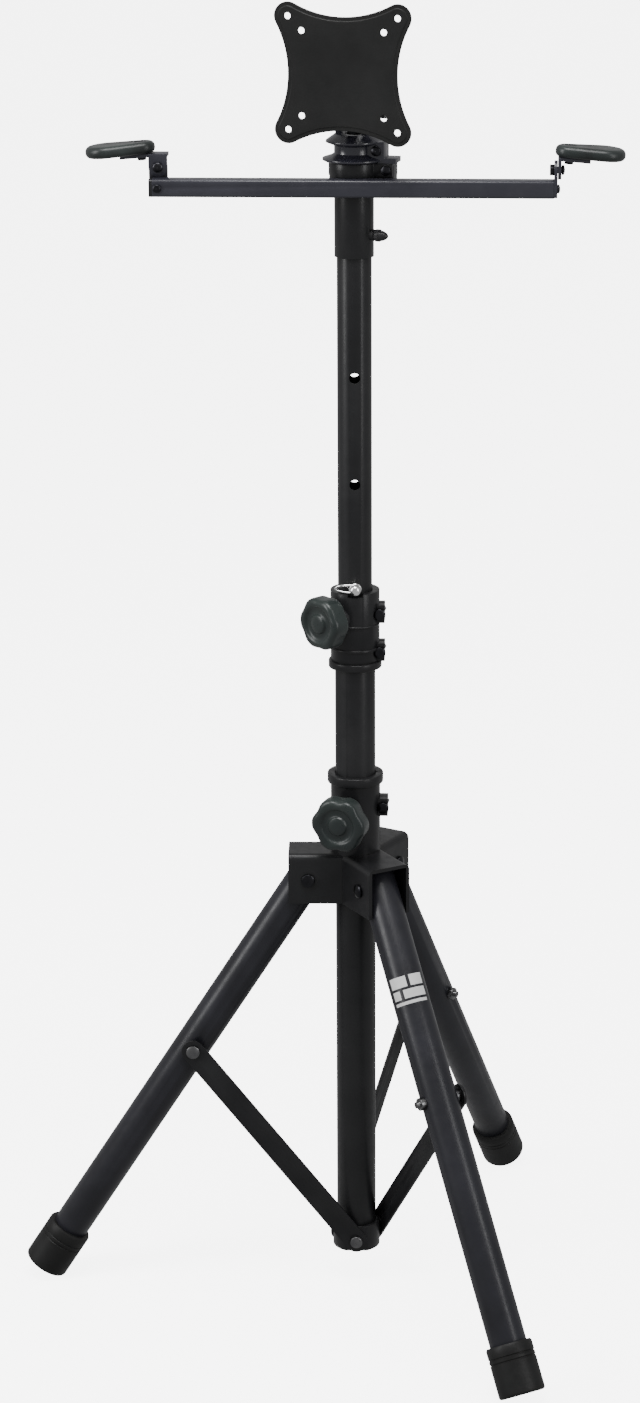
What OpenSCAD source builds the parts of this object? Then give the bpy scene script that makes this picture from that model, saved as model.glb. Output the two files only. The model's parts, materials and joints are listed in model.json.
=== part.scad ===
// Tripod stand with a telescoping mast, a flat-panel mounting plate and a crossbar with two rest pads.
// Millimetres, +Z up. The origin is on the floor under the middle of the pole.
// The plate faces -Y, and its bolt rows lie along X and Z.

/* [Pole] */
// Outside diameter of the fixed lower tube
lower_od = 38; // [34:0.5:46]
// Wall of both pole tubes
pole_wall = 1.5; // [1:0.1:2]
// Length of the lower tube
lower_len = 661; // [560:1:760]
// Height of the lower tube's bottom end above the floor
lower_base = 37; // [34:1:44]
// Outside diameter of the sliding mast
mast_od = 32; // [26:0.5:32]
// Length of the mast
mast_len = 712; // [600:1:850]
// Spacing of the cross holes along the mast
hole_pitch = 100; // [60:1:110]
// Number of cross holes
hole_count = 5; // [3:1:5]
// Diameter of a cross hole
hole_d = 10; // [9:0.5:12]
// Direction that the cross holes and the lock pin face
pin_azimuth = 285; // [270:1:300]

/* [Legs] */
// Outside diameter of a leg
leg_od = 35; // [28:0.5:36]
// Wall of a leg tube
leg_wall = 1.5; // [1:0.1:2]
// Length from the pivot to the tip of the foot
leg_len = 490; // [430:1:540]
// Lean of a leg from the vertical
leg_lean = 32.6; // [26:0.1:36]
// Direction of the first leg, counter-clockwise from +X
leg_azimuth = 194; // [180:1:210]
// Distance of a leg's pivot from the pole axis
leg_pivot_r = 45; // [44:0.5:52]
// Outside diameter of a rubber foot
foot_od = 44; // [41:0.5:50]
// Length of a rubber foot
foot_len = 48; // [36:1:60]

/* [Braces] */
// Distance from the leg's pivot to the brace bolt
brace_at = 209; // [180:1:240]
// Width of the brace strip
brace_w = 22; // [16:1:24]
// Thickness of the brace strip
brace_t = 2.5; // [2:0.1:4]
// Distance of the brace's middle plane from the pole axis
brace_offset = 22; // [21.8:0.1:24]
// Height of the lower brace rivets
brace_base_z = 45; // [44:1:50]

/* [Hub] */
// Height of the hub's arms
hub_h = 49; // [48:1:60]
// Wall of the hub's arms
hub_wall = 3.5; // [3:0.1:4.5]
// Reach of an arm from the pole axis
hub_reach = 64; // [62:1:74]
// Outside diameter of the hub's clamp neck
neck_od = 47; // [44:1:50]
// Height of the clamp neck above the arms
neck_h = 68; // [60:1:80]
// Upward travel of the hub when the legs fold
fold_travel = 81; // [60:1:81]

/* [Clamps] */
// Outside diameter of a clamp ring
ring_od = 53; // [50:1:60]
// Height of the upper clamp's body
clamp_h = 68; // [62:1:80]
// Diameter of a clamp knob over its lobes
knob_od = 52; // [44:1:56]
// Thickness of a clamp knob
knob_t = 17; // [12:1:20]
// Number of lobes on a knob
knob_lobes = 6; // [5:1:8]
// Distance of a knob's outer face from the pole axis
knob_reach = 49; // [47:1:56]

/* [Crossbar] */
// Length of the crossbar
bar_len = 360; // [300:1:420]
// Side of the square crossbar
bar_side = 16; // [14:0.5:18]
// Wall of the crossbar
bar_wall = 1.4; // [1:0.1:2]
// Height of the crossbar's middle
bar_z = 1085; // [1085:1:1090]
// Turn of the crossbar from the plate, about the pole
bar_turn = 11.5; // [0:0.5:15]
// Length of the sleeve that carries the crossbar
sleeve_len = 83; // [75:1:95]
// Wall of the sleeve
sleeve_wall = 1.9; // [1.5:0.1:2.5]

/* [Rests] */
// Length of a rest pad
pad_len = 63; // [56:1:72]
// Width of a rest pad
pad_w = 38; // [32:1:44]
// Thickness of a rest pad
pad_t = 10.5; // [8:0.5:13]
// Outward droop of a rest pad
pad_droop = 5; // [0:0.5:7]

/* [Head] */
// Height of the middle of the mounting plate
plate_z = 1188; // [1185:1:1196]
// Distance of the plate's front face from the pole axis
plate_front = 41; // [38:1:46]
// Thickness of the plate
plate_t = 2.5; // [2:0.1:4]
// Spacing of the outer bolt holes
plate_outer = 100; // [100:1:100]
// Spacing of the inner bolt holes
plate_inner = 75; // [75:1:75]
// Diameter of a plate hole
plate_hole = 6; // [5:0.1:6.5]
// Radius of a plate corner
plate_corner = 12.5; // [11:0.1:14]
// Half width of the plate at its waist
plate_waist = 50; // [46:0.5:52]
// Height of the tilt pivot
tilt_z = 1158; // [1156:1:1162]

/* [Hidden] */
$fn = 64;
eps = 0.5;            // overshoot of a cut
run = 0.1;            // running clearance on a radius
gap = 0.3;            // clearance between parts that move past each other
legs = 3;             // number of legs
bolt_d = 8;           // shank of the leg and clamp bolts
rivet_d = 6;          // shank of the brace rivets and small bolts
strip_t = 3;          // thickness of the rests' strip steel
screw_d = 4;          // shank of the post screws

// Pole
lower_id = lower_od - 2 * pole_wall;
lower_top = lower_base + lower_len;
mast_id = mast_od - 2 * pole_wall;
pin_d = 8;
clamp_top = lower_top + 7.5;
pin_z = clamp_top + pin_d / 2 + gap;
bushing_len = 50;
pin_hole_z = pin_z - (hole_d - pin_d) / 2 + run;
sleeve_od = mast_od + 2 * run + 2 * sleeve_wall;
bar_top = bar_z + bar_side / 2;
collar_z = bar_top + gap;
collar_h = 12;
collar_r = 23;
collar_roof = 3;
mast_top = collar_z + collar_h - collar_roof - 2 - gap;
mast_bottom = mast_top - mast_len;
sleeve_top = collar_z + collar_h - collar_roof;
sleeve_bottom = sleeve_top - sleeve_len;

// Legs and braces
foot_flat = 1.5;      // how far the rubber is cut flat on the floor
leg_pivot_z = leg_len * cos(leg_lean) + foot_od / 2 * sin(leg_lean) - foot_flat;
leg_end = 6;          // rubber below the leg tube
leg_head = 12;        // tube above the pivot
bolt_x = leg_pivot_r + brace_at * sin(leg_lean);
bolt_z = leg_pivot_z - brace_at * cos(leg_lean);
brace_len = norm([bolt_x, bolt_z - brace_base_z]);
brace_rise = atan2(bolt_z - brace_base_z, bolt_x);

// Hub
hub_top = leg_pivot_z + hub_h / 2 + 1;
arm_inner = leg_od / 2 + 1;
arm_outer = arm_inner + hub_wall;
arm_round = 6;
hub_bore = lower_od + 2 * run;
neck_top = hub_top + neck_h;
ring_h = 9;
hub_knob_z = hub_top + 37;
hub_knob_az = 263;

// Clamps
clamp_bottom = clamp_top - clamp_h;
clamp_od = 46;
mast_knob_z = clamp_top - 25;
mast_knob_az = 238;
boss_reach = 29;      // face of a knob's boss from the pole axis
shoe_d = 12;
screw_tip = lower_od / 2 + 2.7;
lug_az = 12;          // direction of the clamps' split and lugs
lug_w = 18;
lug_h = 17;
lug_low = clamp_bottom + 9;
lug_high = clamp_bottom + 46;
clamp_bolt_r = lower_od / 2 + 4.5;
hub_lug_z = hub_knob_z + 7;
hub_bolt_r = lower_od / 2 + 7.5;

// Crossbar and rests, in the bar's own frame
bar_y = -(sleeve_od / 2 - 1.5 + bar_side / 2);
bar_back = bar_y + bar_side / 2;
plug_t = 3;
post_w = 17;
tab_bolt_z = bar_top + 9;
tab_top = bar_top + 21;
left_post_x = -bar_len / 2 + 4.5;
left_tab_y = bar_back - strip_t - gap;
right_tab_x = bar_len / 2 + strip_t + gap;
shelf_len = 26;
shelf_screw = 7;      // pad screw from the bend of a shelf
pad_small = 13;       // radius of a pad's inner end
thumb_d = 5;
thumb_z = bar_z - 45;
thumb_az = -27;       // direction of the thumbscrew from the bar

// Head
spool_z = collar_z + collar_h + gap;
flange_h = 4.5;
lower_flange_r = 28.5;
upper_flange_r = 25.5;
spool_neck_r = 18;
upper_flange_z = spool_z + 17.5;
spool_top = upper_flange_z + 1.5;
dome_z = upper_flange_z + 7.5;
ear_gap = 9;          // half the gap between the tilt ears
ear_t = 6;
ear_r = 9;
block_w = 20;         // width of the clamp blocks on the head's right
block_bolt_x = 20;
collar_bolt_x = 32;
tilt_bolt_end = ear_gap + ear_t + 11;
boss_side = 52;       // side of the bracket's square foot on the plate
plate_back = -plate_front + plate_t;

// ---------- shared shapes ----------

// A square tube section or bar end with rounded corners.
module rounded_square(side, r) {
    square([side - 2 * r, side], center = true);
    square([side, side - 2 * r], center = true);
    for (x = [-1, 1], y = [-1, 1]) translate([x * (side / 2 - r), y * (side / 2 - r)]) circle(r = r);
}

// A round tube standing on z = 0.
module tube(od, id, h) {
    difference() {
        cylinder(d = od, h = h);
        translate([0, 0, -eps]) cylinder(d = id, h = h + 2 * eps);
    }
}

// A cylinder along Y, from y0 to y1.
module rod_y(d, y0, y1) {
    translate([0, min(y0, y1), 0]) rotate([-90, 0, 0]) cylinder(d = d, h = abs(y1 - y0));
}

// A cylinder along X, from x0 to x1.
module rod_x(d, x0, x1) {
    translate([x0, 0, 0]) rotate([0, 90, 0]) cylinder(d = d, h = x1 - x0);
}

// A domed bolt head at the origin, pointing along +Z.
module dome_head(d, h) {
    intersection() {
        cylinder(d = d, h = h);
        translate([0, 0, h - d]) sphere(r = d);
    }
}

// Places children in a leg's frame: +Z runs down the leg from its pivot and +Y is its tangent.
module at_leg(i) {
    rotate([0, 0, leg_azimuth + i * 360 / legs]) translate([leg_pivot_r, 0, leg_pivot_z])
        rotate([0, 180 - leg_lean, 0]) children();
}

// Places children in a brace's frame: +X runs up the brace from its lower rivet.
module at_brace(i) {
    rotate([0, 0, leg_azimuth + i * 360 / legs]) translate([0, brace_offset, brace_base_z])
        rotate([0, -brace_rise, 0]) children();
}

// Places children on a clamp knob's axis, which runs out along +X.
module at_knob(az, z) {
    translate([0, 0, z]) rotate([0, 0, az]) children();
}

// Places children in the crossbar's frame.
module at_bar() {
    rotate([0, 0, bar_turn]) children();
}

// Places children on the thumbscrew's axis, which runs out along +X.
module at_thumb() {
    at_bar() rotate([0, 0, thumb_az]) translate([0, 0, thumb_z]) children();
}

// A flat plate of thickness t in the XZ plane, centred on y = 0.
module upright(t) {
    rotate([90, 0, 0]) translate([0, 0, -t / 2]) linear_extrude(t) children();
}

// ---------- pole ----------

module lower_tube() {
    color([0.15, 0.15, 0.17]) difference() {
        translate([0, 0, lower_base]) tube(lower_od, lower_id, lower_len);
        at_knob(mast_knob_az, mast_knob_z) rod_x(shoe_d + 2 * gap, 0, lower_od);
    }
}

// Collar at the foot of the pole, with a flat for each brace.
module base_collar() {
    flat = brace_offset - brace_t / 2 - gap;
    color([0.13, 0.13, 0.14]) difference() {
        translate([0, 0, lower_base - 3]) tube(2 * flat + 5, lower_od, 26);
        for (i = [0:legs - 1]) rotate([0, 0, leg_azimuth + i * 360 / legs])
            translate([-leg_od, flat, 0]) cube([2 * leg_od, leg_od, 2 * brace_base_z]);
    }
}

module base_plug() {
    color([0.1, 0.1, 0.1]) difference() {
        union() {
            translate([0, 0, lower_base]) cylinder(d = lower_id, h = 14);
            translate([0, 0, lower_base - 3]) cylinder(d = lower_od, h = 3);
        }
        translate([0, 0, lower_base]) cylinder(d = lower_id - 6, h = 14 + eps);
    }
}

// Plastic liner between the lower tube and the mast.
module mast_bushing() {
    color([0.12, 0.12, 0.12]) difference() {
        union() {
            translate([0, 0, lower_top - bushing_len]) cylinder(d = lower_id, h = bushing_len);
            translate([0, 0, lower_top]) cylinder(d = lower_od, h = 2);
        }
        translate([0, 0, lower_top - bushing_len - eps])
            cylinder(d = mast_od + 2 * run, h = bushing_len + 2 + 2 * eps);
        at_knob(mast_knob_az, mast_knob_z) rod_x(shoe_d + 2 * gap, 0, lower_od);
    }
}

// The pair of lugs beside a clamp's split, around the cross bolt at radius r and height z.
module lugs(r, z) {
    inner = lower_od / 2 + 2;
    rotate([0, 0, lug_az]) translate([inner, -lug_w / 2, z - lug_h / 2])
        cube([r + 4.5 - inner, lug_w, lug_h]);
}

// The cross bolt of a pair of lugs.
module lug_bolt(r, z) {
    rotate([0, 0, lug_az]) translate([r, 0, z]) {
        rod_y(rivet_d, -lug_w / 2, lug_w / 2);
        translate([0, -lug_w / 2, 0]) rotate([90, 0, 0]) dome_head(11, 4.5);
        translate([0, lug_w / 2, 0]) rotate([-90, 0, 0]) cylinder(d = 11, h = 5, $fn = 6);
    }
}

// The way of a cross bolt, with flats for its head and nut.
module lug_hole(r, z) {
    rotate([0, 0, lug_az]) translate([r, 0, z]) {
        rod_y(rivet_d, -lug_w, lug_w);
        for (s = [-1, 1]) rod_y(11.6, s * lug_w / 2, s * (lug_w / 2 + 12));
    }
}

module clamp_body() {
    color([0.12, 0.13, 0.13]) difference() {
        union() {
            translate([0, 0, clamp_bottom]) cylinder(d = clamp_od, h = clamp_h);
            at_knob(mast_knob_az, mast_knob_z) rod_x(26, 10, boss_reach);
            for (z = [lug_low, lug_high]) lugs(clamp_bolt_r, z);
        }
        translate([0, 0, clamp_bottom - eps]) cylinder(d = lower_od, h = lower_top - clamp_bottom + eps);
        translate([0, 0, lower_top]) cylinder(d = lower_od, h = 2);
        translate([0, 0, lower_top]) cylinder(d = mast_od + 1, h = 10);
        rotate([0, 0, lug_az]) translate([0, -1, clamp_bottom - eps])
            cube([clamp_od, 2, lug_high + lug_h / 2 + 3 - clamp_bottom]);
        for (z = [lug_low, lug_high]) lug_hole(clamp_bolt_r, z);
        knob_way(mast_knob_az, mast_knob_z);
        rotate([0, 0, pin_azimuth]) translate([mast_od / 2 - 2, -7, clamp_top - 3]) cube([clamp_od, 14, 4]);
    }
}

// The stepped hole through a clamp for the shoe and the screw.
module knob_way(az, z) {
    at_knob(az, z) {
        rod_x(shoe_d + 2 * run, 0, screw_tip + gap);
        rod_x(bolt_d + 2 * run, 0, boss_reach + eps);
    }
}

module clamp_ring() {
    color([0.12, 0.13, 0.13]) difference() {
        translate([0, 0, clamp_bottom - 7]) tube(ring_od - 3, lower_od, 7);
        rotate([0, 0, lug_az]) translate([0, -1, clamp_bottom - 8]) cube([ring_od, 2, 9]);
    }
}

module clamp_bolts() {
    color("dimgray") for (z = [lug_low, lug_high]) lug_bolt(clamp_bolt_r, z);
}

// A brake shoe between a clamp screw's tip and the tube inside.
module shoe(az, z, r, tip) {
    at_knob(az, z) difference() {
        rod_x(shoe_d, r - 2, tip);
        translate([0, 0, -shoe_d]) cylinder(r = r, h = 2 * shoe_d);
    }
}

module clamp_shoe() {
    color("dimgray") shoe(mast_knob_az, mast_knob_z, mast_od / 2 + run, screw_tip);
}

// A lobed plastic knob on its screw's axis.
module knob() {
    lobe_r = 6;
    rotate([0, 90, 0]) difference() {
        union() {
            translate([0, 0, knob_reach - knob_t]) {
                cylinder(r = knob_od / 2 - 3.5, h = knob_t);
                for (k = [0:knob_lobes - 1]) rotate([0, 0, k * 360 / knob_lobes])
                    translate([knob_od / 2 - lobe_r, 0, 0]) cylinder(r = lobe_r, h = knob_t);
            }
            translate([0, 0, boss_reach + gap]) cylinder(d = 20, h = knob_reach - boss_reach - 2);
        }
        cylinder(d = bolt_d, h = knob_reach - 5);
    }
}

module knob_screw() {
    rod_x(bolt_d, screw_tip, knob_reach - 5);
}

module clamp_knob() {
    color([0.14, 0.16, 0.15]) at_knob(mast_knob_az, mast_knob_z) knob();
}

module clamp_screw() {
    color("silver") at_knob(mast_knob_az, mast_knob_z) knob_screw();
}

// ---------- hub ----------

// Cross-section of a hub arm, in the plane across the arm, with rounded top edges.
module arm_section() {
    side = arm_outer - arm_round;
    top = hub_h - arm_round;
    polygon(concat([[-arm_outer, 0], [arm_outer, 0]],
        [for (a = [0:15:90]) [side + arm_round * cos(a), top + arm_round * sin(a)]],
        [for (a = [90:15:180]) [-side + arm_round * cos(a), top + arm_round * sin(a)]]));
}

module hub_housing() {
    low = hub_top - hub_h;
    color([0.17, 0.17, 0.18]) difference() {
        union() {
            difference() {
                union() for (i = [0:legs - 1]) rotate([0, 0, leg_azimuth + i * 360 / legs])
                    translate([0, 0, low]) rotate([90, 0, 90]) linear_extrude(hub_reach) arm_section();
                for (i = [0:legs - 1]) rotate([0, 0, leg_azimuth + i * 360 / legs])
                    translate([0, -arm_inner, low - 2]) cube([2 * hub_reach, 2 * arm_inner, hub_h - hub_wall + 2]);
            }
            translate([0, 0, low - 1]) cylinder(d = neck_od, h = hub_h + neck_h + 1);
            at_knob(hub_knob_az, hub_knob_z) rod_x(26, 10, boss_reach);
            lugs(hub_bolt_r, hub_lug_z);
        }
        translate([0, 0, low - 2]) cylinder(d = hub_bore, h = hub_h + neck_h + 4);
        for (i = [0:legs - 1]) rotate([0, 0, leg_azimuth + i * 360 / legs])
            translate([leg_pivot_r, 0, leg_pivot_z]) rod_y(bolt_d, -arm_outer - eps, arm_outer + eps);
        rotate([0, 0, lug_az]) translate([0, -1, hub_top + 12]) cube([neck_od, 2, neck_h]);
        lug_hole(hub_bolt_r, hub_lug_z);
        knob_way(hub_knob_az, hub_knob_z);
    }
}

module hub_ring() {
    color([0.17, 0.17, 0.18]) difference() {
        translate([0, 0, neck_top]) tube(ring_od, hub_bore, ring_h);
        rotate([0, 0, lug_az]) translate([0, -1, neck_top - 1]) cube([ring_od, 2, ring_h + 2]);
    }
}

module hub_bolt() {
    color("dimgray") lug_bolt(hub_bolt_r, hub_lug_z);
}

module hub_shoe() {
    color("dimgray") shoe(hub_knob_az, hub_knob_z, lower_od / 2 + run, screw_tip);
}

module hub_knob() {
    color([0.14, 0.16, 0.15]) at_knob(hub_knob_az, hub_knob_z) knob();
}

module hub_screw() {
    color("silver") at_knob(hub_knob_az, hub_knob_z) knob_screw();
}

// The legs' pivot bolts, domed at both ends.
module leg_pivot_bolts() {
    color("silver") for (i = [0:legs - 1]) rotate([0, 0, leg_azimuth + i * 360 / legs])
        translate([leg_pivot_r, 0, leg_pivot_z]) {
            rod_y(bolt_d, -arm_outer, arm_outer);
            for (s = [0, 180]) rotate([0, 0, s]) translate([0, arm_outer, 0]) rotate([-90, 0, 0])
                dome_head(13, 4);
        }
}

// ---------- legs and braces ----------

module leg_tube(i) {
    color([0.2, 0.2, 0.24]) at_leg(i) difference() {
        translate([0, 0, -leg_head]) tube(leg_od, leg_od - 2 * leg_wall, leg_len + leg_head - leg_end);
        rod_y(bolt_d + 2 * run, -leg_od, leg_od);
        translate([0, 0, brace_at]) rod_y(rivet_d, -leg_od, leg_od);
    }
}

// Plug in the leg's upper end, which the pivot bolt runs through.
module leg_plug(i) {
    color([0.1, 0.1, 0.1]) at_leg(i) difference() {
        translate([0, 0, -leg_head]) cylinder(d = leg_od - 2 * leg_wall, h = 2 * leg_head);
        rod_y(bolt_d + 2 * run, -leg_od, leg_od);
    }
}

// Rubber foot: a cup on the leg's end, cut flat where it stands on the floor.
module leg_foot(i) {
    r = 3;
    color([0.12, 0.12, 0.12]) intersection() {
        at_leg(i) difference() {
            translate([0, 0, leg_len - foot_len]) rotate_extrude() {
                square([foot_od / 2 - r, foot_len]);
                translate([0, r]) square([foot_od / 2, foot_len - 2 * r]);
                for (z = [r, foot_len - r]) translate([foot_od / 2 - r, z]) circle(r = r);
            }
            translate([0, 0, leg_len - foot_len - eps])
                cylinder(d = leg_od, h = foot_len - leg_end + eps);
        }
        translate([-2 * leg_len, -2 * leg_len, 0]) cube(4 * leg_len);
    }
}

// Bolt that joins a brace to its leg: a saddle spacer, a domed head over the brace and a nut on the far side.
module brace_bolt(i) {
    near = brace_offset + brace_t / 2 + gap;
    color("silver") at_leg(i) {
        difference() {
            translate([0, 0, brace_at]) {
                rod_y(12, 0, brace_offset - brace_t / 2 - gap);
                rod_y(12, 0, -leg_od / 2 - 4.5);
            }
            translate([0, 0, brace_at - leg_od]) cylinder(d = leg_od, h = 2 * leg_od);
        }
        translate([0, 0, brace_at]) {
            rod_y(rivet_d, -leg_od / 2 - 8, near);
            translate([0, near, 0]) rotate([-90, 0, 0]) dome_head(13, 4);
        }
    }
}

module brace(i) {
    color([0.14, 0.14, 0.15]) at_brace(i) upright(brace_t) difference() {
        union() {
            translate([0, -brace_w / 2]) square([brace_len, brace_w]);
            for (x = [0, brace_len]) translate([x, 0]) circle(d = brace_w);
        }
        circle(d = rivet_d);
        translate([brace_len, 0]) circle(d = rivet_d + 2 * run);
    }
}

// Rivet at a brace's lower end. It ends flush with the brace, clear of the collar behind it.
module brace_rivet(i) {
    color("silver") at_brace(i) {
        rod_y(rivet_d, -brace_t / 2, brace_t / 2);
        translate([0, brace_t / 2, 0]) rotate([-90, 0, 0]) dome_head(12, 4);
    }
}

// ---------- mast ----------

module mast_tube() {
    color([0.15, 0.15, 0.16]) difference() {
        translate([0, 0, mast_bottom]) tube(mast_od, mast_id, mast_len);
        for (k = [0:hole_count - 1]) translate([0, 0, pin_hole_z + (k - hole_count + 3) * hole_pitch])
            rotate([0, 0, pin_azimuth]) rod_x(hole_d, -mast_od, mast_od);
    }
}

// Plastic glide on the mast's lower end, running in the lower tube.
module mast_glide() {
    color([0.1, 0.1, 0.1]) difference() {
        union() {
            translate([0, 0, mast_bottom - 4]) cylinder(d = lower_id - 2 * run, h = 4);
            translate([0, 0, mast_bottom]) cylinder(d = mast_id, h = 18);
        }
        translate([0, 0, mast_bottom - 4 - eps]) cylinder(d = mast_id - 8, h = 22 + 2 * eps);
    }
}

// Plug in the mast's upper end, hollow for the head of the swivel bolt.
module mast_cap() {
    color([0.1, 0.1, 0.1]) difference() {
        union() {
            translate([0, 0, mast_top - 12]) cylinder(d = mast_id, h = 12);
            translate([0, 0, mast_top]) cylinder(d = mast_od, h = 2);
        }
        translate([0, 0, mast_top - 7]) cylinder(d = 18, h = 10);
    }
}

// Lock pin: a round pin with a washer head and a handle bent to one side.
module lock_pin() {
    handle_d = 4;
    head_out = mast_od / 2 + gap;
    color("silver") translate([0, 0, pin_z]) rotate([0, 0, pin_azimuth]) {
        rod_x(pin_d, -mast_od / 2 - 4, head_out + 6);
        rod_x(12, head_out, head_out + 2.5);
        translate([head_out + 6, 0, 0]) sphere(d = pin_d);
        translate([head_out + 5.5, 0, 0]) rotate([0, 0, 12]) rod_y(handle_d, -20, 0);
    }
}

// ---------- crossbar ----------

// Sleeve that turns on the mast, with a threaded boss for the thumbscrew.
module bar_sleeve() {
    color([0.13, 0.13, 0.13]) difference() {
        union() {
            translate([0, 0, sleeve_bottom]) cylinder(d = sleeve_od, h = sleeve_len);
            at_thumb() rod_x(10, 0, sleeve_od / 2 + 4);
        }
        translate([0, 0, sleeve_bottom - eps]) cylinder(d = mast_od + 2 * run, h = sleeve_len + 2 * eps);
        at_thumb() rod_x(thumb_d + 2 * run, 0, sleeve_od);
    }
}

module crossbar() {
    color([0.2, 0.2, 0.23]) difference() {
        at_bar() translate([-bar_len / 2, bar_y, bar_z]) rotate([90, 0, 90]) linear_extrude(bar_len)
            difference() {
                rounded_square(bar_side, 2.5);
                rounded_square(bar_side - 2 * bar_wall, 1.1);
            }
        translate([0, 0, sleeve_bottom]) cylinder(d = sleeve_od, h = sleeve_len);
        at_bar() translate([left_post_x, 0, bar_z]) rod_y(screw_d, -2 * sleeve_od, 0);
    }
}

// Plastic plugs in the bar's ends. The left one has a visible flange, and the right one takes the post screw.
module bar_plugs() {
    depth = 14;
    inner = bar_side - 2 * bar_wall;
    color([0.1, 0.1, 0.1]) at_bar() translate([0, bar_y, bar_z]) difference() {
        union() {
            translate([-bar_len / 2, 0, 0]) rotate([90, 0, 90]) linear_extrude(depth)
                rounded_square(inner, 1.1);
            translate([-bar_len / 2 - plug_t, 0, 0]) rotate([90, 0, 90]) linear_extrude(plug_t)
                rounded_square(bar_side, 2.5);
            translate([bar_len / 2 - depth, 0, 0]) rotate([90, 0, 90]) linear_extrude(depth)
                rounded_square(inner, 1.1);
        }
        rod_x(screw_d, bar_len / 2 - depth - eps, bar_len / 2 + eps);
        translate([left_post_x, 0, 0]) rod_y(screw_d, -bar_side, bar_side);
    }
}

module thumbscrew() {
    reach = sleeve_od / 2 + 4 + gap;
    color([0.1, 0.1, 0.1]) at_thumb() {
        rod_x(thumb_d, mast_od / 2 + gap, reach + 1);
        translate([reach, 0, 0]) rotate([0, 90, 0]) rotate_extrude() polygon([
            [0, 0], [4.2, 0], [5.2, 1.2], [5.2, 4], [4.4, 8], [3, 11], [1.2, 12.6], [0, 13]]);
    }
}

// Outline of a post: a strip with a round top about the tab bolt. Z is up from the bar's middle.
module post_outline() {
    rise = tab_bolt_z - bar_z;
    low = 1 - bar_side / 2;
    difference() {
        union() {
            translate([-post_w / 2, low]) square([post_w, rise - low]);
            translate([0, rise]) circle(d = post_w);
        }
        translate([0, rise]) circle(d = rivet_d);
        circle(d = screw_d);
    }
}

// Strip up the back of the bar's left end.
module left_post() {
    color([0.2, 0.2, 0.22]) at_bar() translate([left_post_x, bar_back + strip_t / 2, bar_z])
        upright(strip_t) post_outline();
}

// Strip up the end face of the bar's right end.
module right_post() {
    color([0.2, 0.2, 0.22]) at_bar() translate([bar_len / 2 + strip_t / 2, bar_y, bar_z])
        rotate([0, 0, 90]) upright(strip_t) post_outline();
}

module post_screws() {
    color("silver") at_bar() {
        translate([left_post_x, 0, bar_z]) {
            rod_y(screw_d, bar_y - bar_side / 2, bar_back + strip_t);
            translate([0, bar_y - bar_side / 2, 0]) rotate([90, 0, 0]) dome_head(7.5, 2.4);
            translate([0, bar_back + strip_t, 0]) rotate([-90, 0, 0]) cylinder(d = 8, h = 3, $fn = 6);
        }
        translate([0, bar_y, bar_z]) {
            rod_x(screw_d, bar_len / 2 - 12, bar_len / 2 + strip_t);
            translate([bar_len / 2 + strip_t, 0, 0]) rotate([0, 90, 0]) dome_head(8, 2.6);
        }
    }
}

// ---------- rests ----------

// A tab's upright: a strip with a round lower end about its bolt. Z is up from the bolt.
module tab_outline() {
    difference() {
        union() {
            circle(d = post_w);
            translate([-post_w / 2, 0]) square([post_w, tab_top - strip_t - tab_bolt_z]);
        }
        circle(d = rivet_d + 2 * run);
    }
}

// The bent strip under a pad: level for `back` behind its bend, then drooping outwards along +X.
module shelf(back) {
    lift = strip_t * tan(pad_droop / 2);
    c = cos(pad_droop);
    d = sin(pad_droop);
    difference() {
        upright(post_w) polygon([[-back, -strip_t], [-lift, -strip_t],
            [shelf_len * c - strip_t * d, -shelf_len * d - strip_t * c], [shelf_len * c, -shelf_len * d],
            [0, 0], [-back, 0]]);
        rotate([0, pad_droop, 0]) translate([shelf_screw, 0, -strip_t - eps])
            cylinder(d = screw_d + 1, h = strip_t + 2 * eps);
    }
}

// Places children at the bend of the left or right shelf, with +X outwards.
module at_left_shelf() {
    at_bar() translate([left_post_x - post_w / 2, left_tab_y + post_w / 2, tab_top])
        rotate([0, 0, 180]) children();
}

module at_right_shelf() {
    at_bar() translate([right_tab_x + strip_t, bar_y, tab_top]) children();
}

// Left tab: a plate in front of the left post, with a shelf to carry the pad.
module left_tab() {
    color([0.2, 0.2, 0.22]) {
        at_bar() translate([left_post_x, left_tab_y + strip_t / 2, tab_bolt_z])
            upright(strip_t) tab_outline();
        at_left_shelf() shelf(post_w);
    }
}

// Right tab: an angle bracket outside the right post, with a shelf to carry the pad.
module right_tab() {
    color([0.2, 0.2, 0.22]) {
        at_bar() translate([right_tab_x + strip_t / 2, bar_y, tab_bolt_z])
            rotate([0, 0, 90]) upright(strip_t) tab_outline();
        at_right_shelf() shelf(strip_t);
    }
}

// The bolts that the tabs turn on, with their nuts behind the posts.
module tab_bolts() {
    nut_t = 4;
    color("silver") at_bar() {
        translate([left_post_x, 0, tab_bolt_z]) {
            rod_y(rivet_d, left_tab_y - gap, bar_back + strip_t);
            translate([0, left_tab_y - gap, 0]) rotate([90, 0, 0]) dome_head(9, 3);
            translate([0, bar_back + strip_t, 0]) rotate([-90, 0, 0]) cylinder(d = 10, h = nut_t, $fn = 6);
        }
        translate([0, bar_y, tab_bolt_z]) {
            rod_x(rivet_d, bar_len / 2, right_tab_x + strip_t + gap);
            translate([right_tab_x + strip_t + gap, 0, 0]) rotate([0, 90, 0]) dome_head(9, 3);
            translate([bar_len / 2, 0, 0]) rotate([0, -90, 0]) cylinder(d = 10, h = nut_t, $fn = 6);
        }
    }
}

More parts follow.
